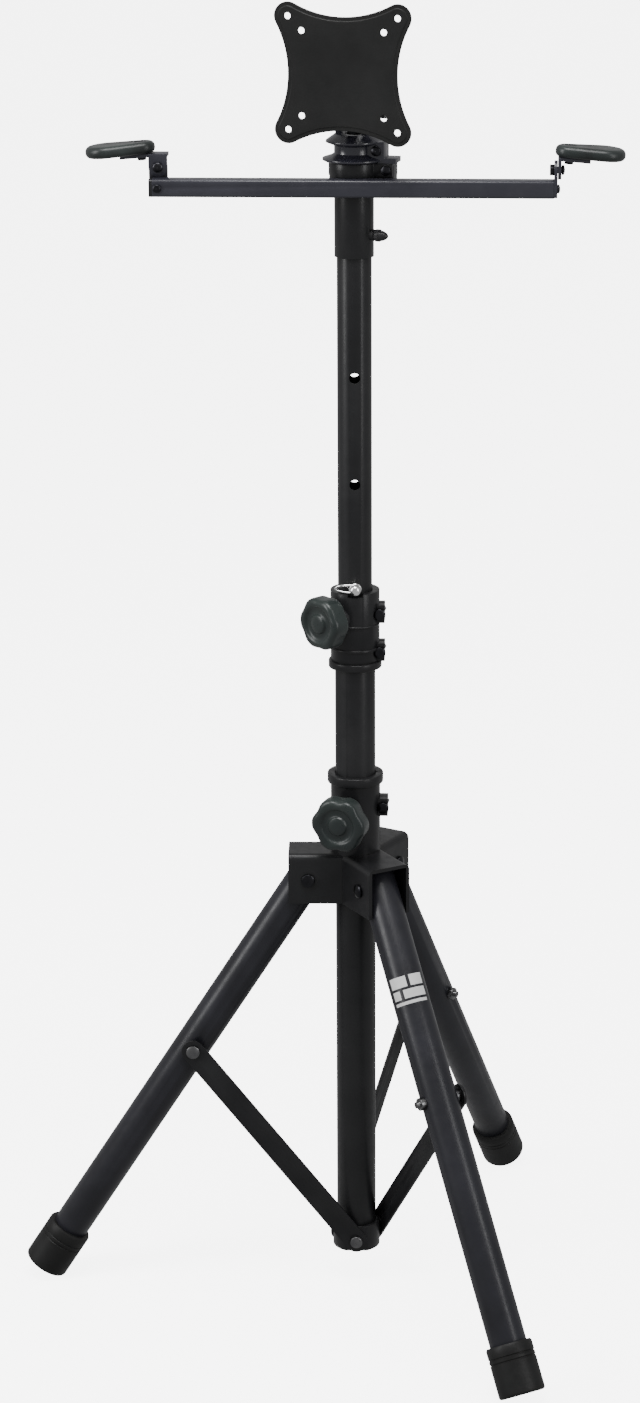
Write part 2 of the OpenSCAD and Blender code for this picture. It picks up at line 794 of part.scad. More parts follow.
// Outline of a pad: a small round inner end that widens to a large round outer end.
module pad_outline() {
    big = pad_w / 2;
    far = pad_len - pad_small - big;
    lean = asin((big - pad_small) / far);
    inset = 0.05;
    small_r = pad_small - inset;
    big_r = big - inset;
    circle(r = pad_small);
    translate([far, 0]) circle(r = big);
    polygon([[-small_r * sin(lean), -small_r * cos(lean)], [far - big_r * sin(lean), -big_r * cos(lean)],
        [far - big_r * sin(lean), big_r * cos(lean)], [-small_r * sin(lean), small_r * cos(lean)]]);
}

// A pad lying on its shelf, with its screw on the origin's axis.
module pad() {
    difference() {
        translate([0, 0, gap]) linear_extrude(pad_t) pad_outline();
        translate([0, 0, -eps]) cylinder(d = screw_d + 1 + 2 * run, h = pad_t + 2);
        translate([0, 0, gap + pad_t - 3.5]) cylinder(d = 9.4, h = 5);
    }
}

module pad_screw() {
    seat = gap + pad_t - 3.2;
    translate([0, 0, -strip_t]) cylinder(d = screw_d + 1, h = strip_t + seat);
    translate([0, 0, seat]) cylinder(d = 9, h = 2.7);
    translate([0, 0, -strip_t - 3]) cylinder(d = 8, h = 3, $fn = 6);
}

// Places children on the left or right pad's screw axis, with +X outwards.
module at_left_pad() {
    at_left_shelf() rotate([0, pad_droop, 0]) translate([shelf_screw, 0, 0]) children();
}

module at_right_pad() {
    at_right_shelf() rotate([0, pad_droop, 0]) translate([shelf_screw, 0, 0]) children();
}

module left_pad() {
    color([0.2, 0.23, 0.22]) at_left_pad() pad();
}

module right_pad() {
    color([0.2, 0.23, 0.22]) at_right_pad() pad();
}

module left_pad_screw() {
    color("dimgray") at_left_pad() pad_screw();
}

module right_pad_screw() {
    color("dimgray") at_right_pad() pad_screw();
}

// ---------- head ----------

// A clamp block on the head's right, from the axis to x1, standing on z = 0.
module block(x1, h) {
    translate([8, -block_w / 2, 0]) cube([x1 - 8, block_w, h]);
}

// A cross screw along Y through a clamp block, with a nut behind.
module block_screw() {
    rod_y(rivet_d, -block_w / 2, block_w / 2);
    translate([0, -block_w / 2, 0]) rotate([90, 0, 0]) dome_head(9, 3);
    translate([0, block_w / 2, 0]) rotate([-90, 0, 0]) cylinder(d = 10, h = 4, $fn = 6);
}

// Places children on the axis of the collar's or the spool's clamp screw.
module at_collar_screw() {
    translate([collar_bolt_x, 0, collar_z + collar_h / 2]) children();
}

module at_spool_screw() {
    translate([block_bolt_x + 3, 0, spool_z + 11]) children();
}

// Cap that closes the sleeve and carries the swivelling spool.
module head_collar() {
    color([0.13, 0.13, 0.14]) difference() {
        translate([0, 0, collar_z]) {
            cylinder(r = collar_r, h = collar_h);
            block(collar_bolt_x + 6, collar_h);
        }
        translate([0, 0, collar_z - eps]) cylinder(d = sleeve_od, h = collar_h - collar_roof + eps);
        translate([0, 0, collar_z]) cylinder(d = bolt_d + 2 * run, h = collar_h + eps);
        at_collar_screw() rod_y(rivet_d, -block_w, block_w);
    }
}

module collar_screw() {
    color("dimgray") at_collar_screw() block_screw();
}

// Plastic spool that swivels on the collar: two flanges, a neck, a clamp block and two tilt ears.
module spool() {
    color([0.14, 0.14, 0.16]) difference() {
        union() {
            translate([0, 0, spool_z]) rotate_extrude() polygon([
                [0, 0], [lower_flange_r - 3, 0], [lower_flange_r, 1.5], [lower_flange_r, 3],
                [spool_neck_r + 3, flange_h + 1], [spool_neck_r, flange_h + 3],
                [spool_neck_r, upper_flange_z - spool_z - 3], [upper_flange_r, upper_flange_z - spool_z],
                [upper_flange_r, upper_flange_z - spool_z + 1.5], [17, dome_z - spool_z],
                [0, dome_z - spool_z]]);
            translate([0, 0, spool_z]) block(41, flange_h);
            translate([0, 0, spool_z]) block(block_bolt_x + 10, 19);
            for (s = [-1, 1]) translate([s * (ear_gap + ear_t / 2), 0, tilt_z]) {
                rod_x(2 * ear_r, -ear_t / 2, ear_t / 2);
                translate([-ear_t / 2, -ear_r, spool_top - tilt_z])
                    cube([ear_t, 2 * ear_r, tilt_z - spool_top]);
            }
        }
        translate([0, 0, spool_z - eps]) cylinder(d = bolt_d, h = dome_z - spool_z + 2 * eps);
        translate([0, 0, dome_z - 4]) cylinder(d = 17, h = 12);
        translate([0, 0, tilt_z]) rod_x(bolt_d, -tilt_z, tilt_z);
        at_spool_screw() rod_y(rivet_d, -block_w, block_w);
    }
}

// The upright swivel bolt, the tilt bolt and the spool block's cross screw.
module spool_bolts() {
    color("dimgray") {
        swivel_head = collar_z + collar_h - collar_roof - gap - 5;
        translate([0, 0, swivel_head]) cylinder(d = 13, h = 5, $fn = 6);
        translate([0, 0, swivel_head]) cylinder(d = bolt_d, h = dome_z - swivel_head);
        translate([0, 0, dome_z - 4]) cylinder(d = 13, h = 6, $fn = 6);
        translate([0, 0, tilt_z]) {
            rod_x(bolt_d, -ear_gap - ear_t, tilt_bolt_end);
            translate([-ear_gap - ear_t, 0, 0]) rotate([0, -90, 0]) cylinder(d = 13, h = 5, $fn = 6);
        }
        at_spool_screw() block_screw();
    }
}

// Hand nut that locks the tilt, on the end of the tilt bolt.
module tilt_knob() {
    r = 14;
    color([0.12, 0.12, 0.12]) translate([ear_gap + ear_t + gap, 0, tilt_z]) rotate([0, 90, 0]) difference() {
        union() {
            cylinder(r = 9, h = 3);
            translate([0, 0, 3]) linear_extrude(12) {
                circle(r = r - 1.5);
                for (a = [10:45:325]) rotate(a) translate([r - 3, 0]) circle(r = 3);
            }
        }
        translate([0, 0, -eps]) cylinder(d = bolt_d + 2 * run, h = tilt_bolt_end - ear_gap - ear_t + 1);
    }
}

// Arm from the tilt pivot to the back of the plate.
module tilt_bracket() {
    w = 2 * ear_gap - 2 * gap;
    color([0.13, 0.13, 0.14]) difference() {
        union() {
            translate([0, 0, tilt_z]) rod_x(2 * ear_r, -w / 2, w / 2);
            translate([-w / 2, plate_back, tilt_z - ear_r]) cube([w, -plate_back, 2 * ear_r]);
            translate([-w / 2, plate_back, tilt_z - ear_r]) cube([w, 6, 60]);
            translate([-boss_side / 2, plate_back, plate_z - boss_side / 2])
                cube([boss_side, 3, boss_side]);
        }
        translate([0, 0, tilt_z]) rod_x(bolt_d + 2 * run, -w, w);
    }
}

// The plate's outline: four round corners joined by shallow arcs.
module plate_outline() {
    half = plate_outer / 2;
    rise = half - plate_waist;
    arc = (half * half + rise * rise - plate_corner * plate_corner) / (2 * (plate_corner + rise));
    mid = plate_waist + arc;
    ux = half / (arc + plate_corner);
    uy = (mid - half) / (arc + plate_corner);
    near = half - plate_corner * ux;
    far = half + plate_corner * uy;
    for (x = [-1, 1], y = [-1, 1]) translate([x * half, y * half]) circle(r = plate_corner);
    difference() {
        for (a = [0, 90]) rotate(a) square([2 * (near + 2), 2 * (far + 0.3)], center = true);
        for (a = [0:90:270]) rotate(a) translate([mid, 0]) circle(r = arc, $fn = 180);
    }
}

module plate() {
    color([0.13, 0.13, 0.13]) difference() {
        translate([0, -plate_front + plate_t / 2, plate_z]) upright(plate_t) plate_outline();
        for (p = [plate_outer, plate_inner], x = [-1, 1], z = [-1, 1])
            translate([x * p / 2, 0, plate_z + z * p / 2]) rod_y(plate_hole, -plate_front - eps, 0);
    }
}

lower_tube();
base_collar();
base_plug();
mast_bushing();
clamp_body();
clamp_ring();
clamp_bolts();
clamp_shoe();
clamp_knob();
clamp_screw();
hub_housing();
hub_ring();
hub_bolt();
hub_shoe();
hub_knob();
hub_screw();
leg_pivot_bolts();
leg_tube(0);  // leg_tube_a
leg_tube(1);  // leg_tube_b
leg_tube(2);  // leg_tube_c
leg_plug(0);  // leg_plug_a
leg_plug(1);  // leg_plug_b
leg_plug(2);  // leg_plug_c
leg_foot(0);  // leg_foot_a
leg_foot(1);  // leg_foot_b
leg_foot(2);  // leg_foot_c
brace_bolt(0);  // brace_bolt_a
brace_bolt(1);  // brace_bolt_b
brace_bolt(2);  // brace_bolt_c
brace(0);  // brace_a
brace(1);  // brace_b
brace(2);  // brace_c
brace_rivet(0);  // brace_rivet_a
brace_rivet(1);  // brace_rivet_b
brace_rivet(2);  // brace_rivet_c
mast_tube();
mast_glide();
mast_cap();
lock_pin();
bar_sleeve();
crossbar();
bar_plugs();
thumbscrew();
left_post();
right_post();
post_screws();
left_tab();
right_tab();
tab_bolts();
left_pad();
right_pad();
left_pad_screw();
right_pad_screw();
head_collar();
collar_screw();
spool();
spool_bolts();
tilt_knob();
tilt_bracket();
plate();
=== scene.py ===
"""Tripod display stand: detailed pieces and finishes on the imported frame.

Each sub-assembly is a class with its sizes as fields, each finish is a frozen dataclass, and main()
builds them in order. Everything is in metres, in the frame's own axes.
"""

from __future__ import annotations

import json
import logging
import math
from dataclasses import dataclass
from enum import Enum
from typing import Any, Iterable

import bmesh
import bpy
from mathutils import Matrix, Vector

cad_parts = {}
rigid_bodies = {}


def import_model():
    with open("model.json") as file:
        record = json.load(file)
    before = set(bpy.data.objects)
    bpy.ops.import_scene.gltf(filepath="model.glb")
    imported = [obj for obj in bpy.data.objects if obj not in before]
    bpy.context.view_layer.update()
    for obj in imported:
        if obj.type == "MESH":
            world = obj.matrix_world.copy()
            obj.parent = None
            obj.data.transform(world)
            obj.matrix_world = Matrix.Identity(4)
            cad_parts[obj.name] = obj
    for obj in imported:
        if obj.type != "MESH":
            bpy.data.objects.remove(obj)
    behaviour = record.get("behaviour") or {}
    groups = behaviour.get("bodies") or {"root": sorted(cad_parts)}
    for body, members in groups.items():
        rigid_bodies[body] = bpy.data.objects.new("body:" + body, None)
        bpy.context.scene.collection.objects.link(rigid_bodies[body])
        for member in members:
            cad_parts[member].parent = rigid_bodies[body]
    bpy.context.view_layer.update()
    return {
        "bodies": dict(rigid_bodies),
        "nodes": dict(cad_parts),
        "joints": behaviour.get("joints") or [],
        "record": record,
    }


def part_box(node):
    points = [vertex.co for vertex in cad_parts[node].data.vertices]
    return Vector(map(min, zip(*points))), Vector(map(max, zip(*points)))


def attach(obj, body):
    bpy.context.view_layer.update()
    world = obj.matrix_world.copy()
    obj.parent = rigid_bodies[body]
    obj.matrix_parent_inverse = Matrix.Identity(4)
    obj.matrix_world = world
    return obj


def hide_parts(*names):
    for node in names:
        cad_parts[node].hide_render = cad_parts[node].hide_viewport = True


logging.basicConfig(level=logging.INFO, format="%(levelname)s %(message)s")
LOG = logging.getLogger("stand")

Point = tuple[float, float, float]
Flat = tuple[float, float]
Colour = tuple[float, float, float]

UP = Vector((0.0, 0.0, 1.0))
LEG_LEAN = math.radians(32.6)  # how far an open leg leans from the vertical


# ---------- finishes ----------


class Tree:
    """A thin helper round a material's or a geometry's node tree."""

    def __init__(self, tree: bpy.types.NodeTree) -> None:
        """Args: tree: the node tree to fill."""
        self.tree = tree

    def add(self, kind: str, **sockets: Any) -> bpy.types.Node:
        """Adds a node and fills its inputs.

        Args:
            kind: the node's type name.
            **sockets: input names, with _ for a space, to a value or an output to link.

        Returns:
            The new node.
        """
        node = self.tree.nodes.new(kind)
        for name, value in sockets.items():
            self.feed(node, name.replace("_", " "), value)
        return node

    def feed(self, node: bpy.types.Node, name: str | int, value: Any) -> None:
        """Sets or links one input of a node."""
        socket = node.inputs[name]
        if isinstance(value, bpy.types.NodeSocket):
            self.tree.links.new(value, socket)
        else:
            socket.default_value = value

    def ramp(self, source: bpy.types.NodeSocket, low: float, high: float,
             out_low: float, out_high: float) -> Any:
        """Maps a range of a value to another range, clamped.

        Returns:
            The result's output socket.
        """
        node = self.add("ShaderNodeMapRange", Value=source)
        for name, value in (("From Min", low), ("From Max", high), ("To Min", out_low), ("To Max", out_high)):
            node.inputs[name].default_value = value
        return node.outputs["Result"]

    def mix(self, factor: Any, a: Colour, b: Colour | Any) -> Any:
        """Mixes two colours.

        Returns:
            The mixed colour's output socket.
        """
        node = self.tree.nodes.new("ShaderNodeMix")
        node.data_type = "RGBA"
        for name, value in (("Factor_Float", factor), ("A_Color", a), ("B_Color", b)):
            socket = next(s for s in node.inputs if s.identifier == name)
            if isinstance(value, bpy.types.NodeSocket):
                self.tree.links.new(value, socket)
            elif isinstance(value, tuple):
                socket.default_value = (*value, 1.0)
            else:
                socket.default_value = value
        return next(s for s in node.outputs if s.identifier == "Result_Color")


@dataclass(frozen=True)
class Finish:
    """What every finish has: a name, a colour and a second colour that shows in patches."""

    name: str
    colour: Colour
    patch: Colour
    roughness: float
    spread: float = 0.06

    def start(self) -> tuple[bpy.types.Material, Tree, bpy.types.Node, Any]:
        """Makes the material with its shader.

        Returns:
            The material, its tree, the shader node and the Object coordinates.
        """
        material = bpy.data.materials.new(self.name)
        material.use_nodes = True
        tree = Tree(material.node_tree)
        shader = material.node_tree.nodes["Principled BSDF"]
        place = tree.add("ShaderNodeTexCoord").outputs["Object"]
        return material, tree, shader, place

    def noise(self, tree: Tree, place: Any, scale: float, detail: float = 3.0) -> Any:
        """A noise value at a scale in cycles per metre."""
        return tree.add("ShaderNodeTexNoise", Vector=place, Scale=scale, Detail=detail).outputs["Fac"]

    def mottle(self, tree: Tree, shader: bpy.types.Node, place: Any, scale: float) -> None:
        """Gives the shader patches of the second colour and uneven roughness."""
        broad = self.noise(tree, place, scale, 4.0)
        share = tree.ramp(broad, 0.35, 0.7, 0.0, 1.0)
        tree.feed(shader, "Base Color", tree.mix(share, self.colour, self.patch))
        fine = self.noise(tree, place, scale * 6.0, 3.0)
        rough = tree.ramp(fine, 0.3, 0.7, self.roughness - self.spread, self.roughness + self.spread)
        tree.feed(shader, "Roughness", rough)

    def bump(self, tree: Tree, shader: bpy.types.Node, height: Any, strength: float, distance: float) -> None:
        """Adds a bump from a height."""
        node = tree.add("ShaderNodeBump", Height=height, Strength=strength, Distance=distance)
        tree.feed(shader, "Normal", node.outputs["Normal"])


@dataclass(frozen=True)
class PowderCoat(Finish):
    """Satin powder coat with a fine orange peel."""

    peel: float = 900.0
    depth: float = 0.00006
    strength: float = 0.35
    gloss: float = 0.22
    coat: float = 0.06

    def build(self) -> bpy.types.Material:
        """Makes the material."""
        material, tree, shader, place = self.start()
        self.mottle(tree, shader, place, 22.0)
        self.bump(tree, shader, self.noise(tree, place, self.peel, 2.0), self.strength, self.depth)
        shader.inputs["Specular IOR Level"].default_value = self.gloss
        shader.inputs["Coat Weight"].default_value = self.coat
        shader.inputs["Coat Roughness"].default_value = 0.18
        return material


@dataclass(frozen=True)
class Moulded(Finish):
    """Moulded plastic with a fine spark-eroded grain."""

    grain: float = 1500.0
    depth: float = 0.00008
    strength: float = 0.4
    gloss: float = 0.25
    sheen: float = 0.0

    def build(self) -> bpy.types.Material:
        """Makes the material."""
        material, tree, shader, place = self.start()
        self.mottle(tree, shader, place, 35.0)
        cells = tree.add("ShaderNodeTexVoronoi", Vector=place, Scale=self.grain).outputs["Distance"]
        self.bump(tree, shader, cells, self.strength, self.depth)
        shader.inputs["Specular IOR Level"].default_value = self.gloss
        shader.inputs["Sheen Weight"].default_value = self.sheen
        shader.inputs["Sheen Roughness"].default_value = 0.4
        return material


@dataclass(frozen=True)
class Steel(Finish):
    """Bare or plated steel with drawn marks."""

    marks: float = 700.0
    depth: float = 0.00004

    def build(self) -> bpy.types.Material:
        """Makes the material."""
        material, tree, shader, place = self.start()
        self.mottle(tree, shader, place, 60.0)
        shader.inputs["Metallic"].default_value = 1.0
        stretch = tree.add("ShaderNodeMapping", Vector=place)
        stretch.inputs["Scale"].default_value = (1.0, 1.0, 0.12)
        lines = self.noise(tree, stretch.outputs["Vector"], self.marks, 4.0)
        self.bump(tree, shader, lines, 0.3, self.depth)
        return material


class Look(Enum):
    """The finishes of this stand."""

    TUBE = PowderCoat("tube_powder_coat", (0.010, 0.010, 0.011), (0.015, 0.015, 0.016), 0.40)
    LEG = PowderCoat("leg_powder_coat", (0.011, 0.011, 0.014), (0.017, 0.017, 0.022), 0.36, gloss=0.26)
    BAR = PowderCoat("bar_powder_coat", (0.017, 0.017, 0.024), (0.026, 0.026, 0.035), 0.34, gloss=0.42,
                     coat=0.10, strength=0.15)
    PRESSED = PowderCoat("pressed_powder_coat", (0.009, 0.009, 0.010), (0.015, 0.015, 0.016), 0.34,
                         peel=700.0)
    PLATE = PowderCoat("plate_powder_coat", (0.010, 0.010, 0.010), (0.014, 0.014, 0.014), 0.50,
                       peel=1200.0, gloss=0.16, coat=0.02)
    PLASTIC = Moulded("moulded_plastic", (0.009, 0.009, 0.010), (0.014, 0.014, 0.015), 0.36, gloss=0.32)
    HEAD = Moulded("head_casting", (0.012, 0.012, 0.018), (0.020, 0.020, 0.028), 0.22, grain=1100.0,
                   gloss=0.6)
    # Painted sheen: the greenish tint of both colours and the lighter greenish patches stand in for the sheen
    # of light on the knob's top; only the darkness is the plastic's own colour.
    GRIP = Moulded("knob_plastic_painted_sheen", (0.009, 0.013, 0.013), (0.017, 0.024, 0.022), 0.32, gloss=0.40,
                   sheen=0.06)
    RUBBER = Moulded("foot_rubber", (0.007, 0.007, 0.007), (0.012, 0.012, 0.012), 0.48, grain=900.0,
                     gloss=0.2)
    # Painted sheen: the pad's near-black first colour is its own, and its lighter greenish patches stand in
    # for the sheen of light on its top.
    PAD = Moulded("pad_rubber_painted_sheen", (0.006, 0.007, 0.007), (0.020, 0.026, 0.025), 0.36, grain=900.0, gloss=0.36,
                  sheen=0.03)
    ZINC = Steel("dull_zinc", (0.10, 0.10, 0.105), (0.20, 0.20, 0.20), 0.30)
    CHROME = Steel("bright_pin", (0.78, 0.78, 0.78), (0.88, 0.88, 0.88), 0.14, spread=0.04)
    PRINT = Moulded("pale_print", (0.55, 0.55, 0.55), (0.72, 0.72, 0.72), 0.50, gloss=0.3)
    BLACKED = Steel("black_oxide", (0.020, 0.020, 0.023), (0.040, 0.040, 0.044), 0.30)


class Paints:
    """Builds each finish once."""

    def __init__(self) -> None:
        """Starts with nothing built."""
        self.made: dict[Look, bpy.types.Material] = {}

    def get(self, look: Look) -> bpy.types.Material:
        """The material of a finish."""
        if look not in self.made:
            self.made[look] = look.value.build()
        return self.made[look]


# ---------- mesh tools ----------


def make_object(name: str, mesh: bpy.types.Mesh, material: bpy.types.Material,
                angle: float = 30.0) -> bpy.types.Object:
    """Wraps a mesh in an object, smooth up to an angle.

    Args:
        name: the piece's name.
        mesh: its mesh, already in place.
        material: its only material.
        angle: edges sharper than this stay sharp, in degrees.

    Returns:
        The linked object.
    """
    mesh.materials.clear()
    mesh.materials.append(material)
    mesh.shade_smooth()
    mesh.set_sharp_from_angle(angle=math.radians(angle))
    piece = bpy.data.objects.new(name, mesh)
    bpy.context.scene.collection.objects.link(piece)
    return piece


def bake(piece: bpy.types.Object) -> bpy.types.Object:
    """Applies a piece's modifiers, so that its mesh is plain.

    Returns:
        The same object.
    """
    graph = bpy.context.evaluated_depsgraph_get()
    mesh = bpy.data.meshes.new_from_object(piece.evaluated_get(graph), depsgraph=graph)
    piece.modifiers.clear()
    piece.data = mesh
    return piece


def bevelled(piece: bpy.types.Object, width: float, segments: int = 2,
             angle: float = 32.0) -> bpy.types.Object:
    """Rounds a piece's sharp edges and bakes the result."""
    modifier = piece.modifiers.new("round edges", "BEVEL")
    modifier.width = width
    modifier.segments = segments
    modifier.limit_method = "ANGLE"
    modifier.angle_limit = math.radians(angle)
    modifier.use_clamp_overlap = True
    modifier.harden_normals = False
    return bake(piece)


def from_bmesh(name: str, bm: bmesh.types.BMesh, material: bpy.types.Material,
               angle: float = 40.0) -> bpy.types.Object:
    """Turns a bmesh into an object with its faces pointing outwards."""
    bmesh.ops.remove_doubles(bm, verts=bm.verts, dist=1e-6)
    bmesh.ops.recalc_face_normals(bm, faces=bm.faces)
    mesh = bpy.data.meshes.new(name)
    bm.to_mesh(mesh)
    bm.free()
    return make_object(name, mesh, material, angle)


def circle(radius: float, height: float, count: int) -> list[Vector]:
    """Points of a circle about the local Z axis, at a height."""
    turn = [2 * math.pi * k / count for k in range(count)]
    return [Vector((radius * math.cos(a), radius * math.sin(a), height)) for a in turn]


def quarter(steps: int) -> list[float]:
    """Angles from 0 to a quarter turn."""
    return [math.pi / 2 * k / steps for k in range(steps + 1)]


def skin(bm: bmesh.types.BMesh, rings: list[list[bmesh.types.BMVert]]) -> None:
    """Joins closed rings of vertices of equal length by faces."""
    count = len(rings[0])
    for low, high in zip(rings, rings[1:]):
        for i in range(count):
            j = (i + 1) % count
            bm.faces.new((low[i], low[j], high[j], high[i]))


def loft(bm: bmesh.types.BMesh, rings: list[list[Vector]], close_ends: bool = True) -> None:
    """Skins closed rings of equal length.

    Args:
        bm: the mesh to add to.
        rings: the rings in order.
        close_ends: fills the first and the last ring.
    """
    made = [[bm.verts.new(p) for p in ring] for ring in rings]
    skin(bm, made)
    if close_ends:
        bm.faces.new(list(reversed(made[0])))
        bm.faces.new(made[-1])


def lathe(bm: bmesh.types.BMesh, profile: Iterable[Flat], place: Matrix, sides: int = 64) -> None:
    """Turns a profile of (radius, height) about the local Z axis. A radius of 0 closes the shape."""
    rings: list[list[bmesh.types.BMVert]] = []
    for radius, height in profile:
        if radius <= 1e-7:
            rings.append([bm.verts.new(place @ Vector((0, 0, height)))])
            continue
        rings.append([bm.verts.new(place @ p) for p in circle(radius, height, sides)])
    for low, high in zip(rings, rings[1:]):
        for i in range(sides):
            j = (i + 1) % sides
            corners = [low[i % len(low)], low[j % len(low)], high[j % len(high)], high[i % len(high)]]
            unique = list(dict.fromkeys(corners))
            if len(unique) > 2:
                bm.faces.new(unique)


def fillet(a: Flat, corner: Flat, b: Flat, radius: float, steps: int = 5) -> list[Flat]:
    """Points that round a corner of a profile between the points before and after it."""
    c, u, v = Vector(corner), Vector(a) - Vector(corner), Vector(b) - Vector(corner)
    start = c + u.normalized() * min(radius, u.length * 0.49)
    end = c + v.normalized() * min(radius, v.length * 0.49)
    out = []
    for k in range(steps + 1):
        t = k / steps
        out.append(tuple(start * (1 - t) ** 2 + c * 2 * t * (1 - t) + end * t * t))
    return out


def frame_at(origin: Vector, along: Vector, up: Vector = UP) -> Matrix:
    """A placement whose +Z runs along a direction and whose +X lies towards `up`."""
    z = along.normalized()
    x = (up - z * up.dot(z)).normalized()
    y = z.cross(x)
    matrix = Matrix((x, y, z)).transposed().to_4x4()
    matrix.translation = origin
    return matrix


# ---------- geometry nodes ----------


class Repeater:
    """Builds repeated shapes with a Geometry Nodes tree that has named inputs."""

    def __init__(self) -> None:
        """Builds the tree once."""
        self.rib_tree = self._ribs()

    def _ribs(self) -> bpy.types.NodeTree:
        """Makes the tree that stands rounded ribs in a ring about +Z.

        Returns:
            The node tree.
        """
        group = bpy.data.node_groups.new("rib ring", "GeometryNodeTree")
        face = group.interface
        face.new_socket("Geometry", in_out="OUTPUT", socket_type="NodeSocketGeometry")
        for name, kind, value in (
            ("Count", "NodeSocketInt", 24),
            ("Ring Radius", "NodeSocketFloat", 0.01),
            ("Rib Radius", "NodeSocketFloat", 0.0006),
            ("Rib Length", "NodeSocketFloat", 0.006),
            ("Height", "NodeSocketFloat", 0.0),
            ("Material", "NodeSocketMaterial", None),
        ):
            socket = face.new_socket(name, in_out="INPUT", socket_type=kind)
            if value is not None:
                socket.default_value = value
        tree = Tree(group)
        given = group.nodes.new("NodeGroupInput").outputs
        ring = tree.add("GeometryNodeMeshCircle", Vertices=given["Count"], Radius=given["Ring Radius"])
        rib = tree.add("GeometryNodeMeshCylinder", Vertices=8, Radius=given["Rib Radius"],
                       Depth=given["Rib Length"])
        stand = tree.add("GeometryNodeInstanceOnPoints", Points=ring.outputs[0], Instance=rib.outputs[0])
        lift = tree.add("ShaderNodeCombineXYZ", Z=given["Height"])
        move = tree.add("GeometryNodeTransform", Geometry=stand.outputs[0], Translation=lift.outputs[0])
        real = tree.add("GeometryNodeRealizeInstances", Geometry=move.outputs[0])
        paint = tree.add("GeometryNodeSetMaterial", Geometry=real.outputs[0], Material=given["Material"])
        out = group.nodes.new("NodeGroupOutput")
        group.links.new(paint.outputs[0], out.inputs[0])
        return group

    def ribs(self, name: str, place: Matrix, material: bpy.types.Material,
             **sizes: float) -> bpy.types.Object:
        """Makes a ring of ribs and puts it in place as a plain mesh.

        Args:
            name: the piece's name.
            place: the ring's placement, with its axis along +Z.
            material: its material.
            **sizes: the tree's inputs by name, with _ for a space.

        Returns:
            The finished piece.
        """
        piece = bpy.data.objects.new(name, bpy.data.meshes.new(name))
        bpy.context.scene.collection.objects.link(piece)
        modifier = piece.modifiers.new("ribs", "NODES")
        modifier.node_group = self.rib_tree
        keys = {item.name: item.identifier for item in self.rib_tree.interface.items_tree}
        for key, value in sizes.items():
            modifier[keys[key.replace("_", " ")]] = value
        modifier[keys["Material"]] = material
        bake(piece)
        piece.data.transform(place)
        piece.data.shade_smooth()
        piece.data.set_sharp_from_angle(angle=math.radians(50))
        return piece


# ---------- the stand ----------


class Stand:
    """What every sub-assembly shares: the frame's nodes, the paints and the joints."""

    def __init__(self, frame: dict[str, Any], paints: Paints, repeater: Repeater) -> None:
        self.nodes: dict[str, bpy.types.Object] = frame["nodes"]
        self.paints = paints
        self.repeater = repeater
        behaviour = frame["record"]["behaviour"]
        self.body = {node: name for name, nodes in behaviour["bodies"].items() for node in nodes}
        self.joints = {joint["name"]: joint for joint in behaviour["joints"]}
        self.slots = {part["node"]: part["material_slot"] for part in frame["record"]["subparts"]}

    def dress(self, node: str, look: Look) -> None:
        """Gives a CAD node that stays its finish."""
        piece = self.nodes[node]
        piece.data.materials.clear()
        piece.data.materials.append(self.paints.get(look))
        LOG.info("dressed %s in %s", node, look.value.name)

    def settle(self, piece: bpy.types.Object, *nodes: str, stands_for: bool = True) -> bpy.types.Object:
        """Makes a piece ride with a node's body, and stand for the nodes.

        Args:
            piece: the finished piece.
            *nodes: the CAD nodes; the first one's body carries the piece.
            stands_for: whether the piece replaces the nodes.

        Returns:
            The piece.
        """
        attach(piece, self.body[nodes[0]])
        if stands_for:
            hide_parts(*nodes)
        LOG.info("%s rides on %s", piece.name, self.body[nodes[0]])
        return piece

    def refine(self, node: str, look: Look, width: float) -> bpy.types.Object:
        """Replaces a node by a copy of its shape with rounded edges.

        Args:
            node: the CAD node.
            look: its finish.
            width: the width of the rounding, in metres.

        Returns:
            The new piece.
        """
        bm = bmesh.new()
        bm.from_mesh(self.nodes[node].data)
        bmesh.ops.remove_doubles(bm, verts=bm.verts, dist=2e-6)
        bmesh.ops.dissolve_limit(bm, angle_limit=math.radians(0.6), verts=bm.verts, edges=bm.edges)
        mesh = bpy.data.meshes.new("fine_" + node)
        bm.to_mesh(mesh)
        bm.free()
        piece = make_object("fine_" + node, mesh, self.paints.get(look))
        bevelled(piece, width)
        piece.data.shade_smooth()
        piece.data.set_sharp_from_angle(angle=math.radians(38))
        return self.settle(piece, node)

    def axis(self, joint: str) -> tuple[Vector, Vector]:
        """A hinge's point and direction."""
        found = self.joints[joint]
        return Vector(found["pos_m"]), Vector(found["axis"])

    def leg_place(self, letter: str) -> Matrix:
        """An open leg's placement: its origin at the pivot and +Z down the leg."""
        pivot, tangent = self.axis(f"leg_{letter}_pivot")
        outwards = tangent.cross(UP)
        return frame_at(pivot, outwards * math.sin(LEG_LEAN) - UP * math.cos(LEG_LEAN))


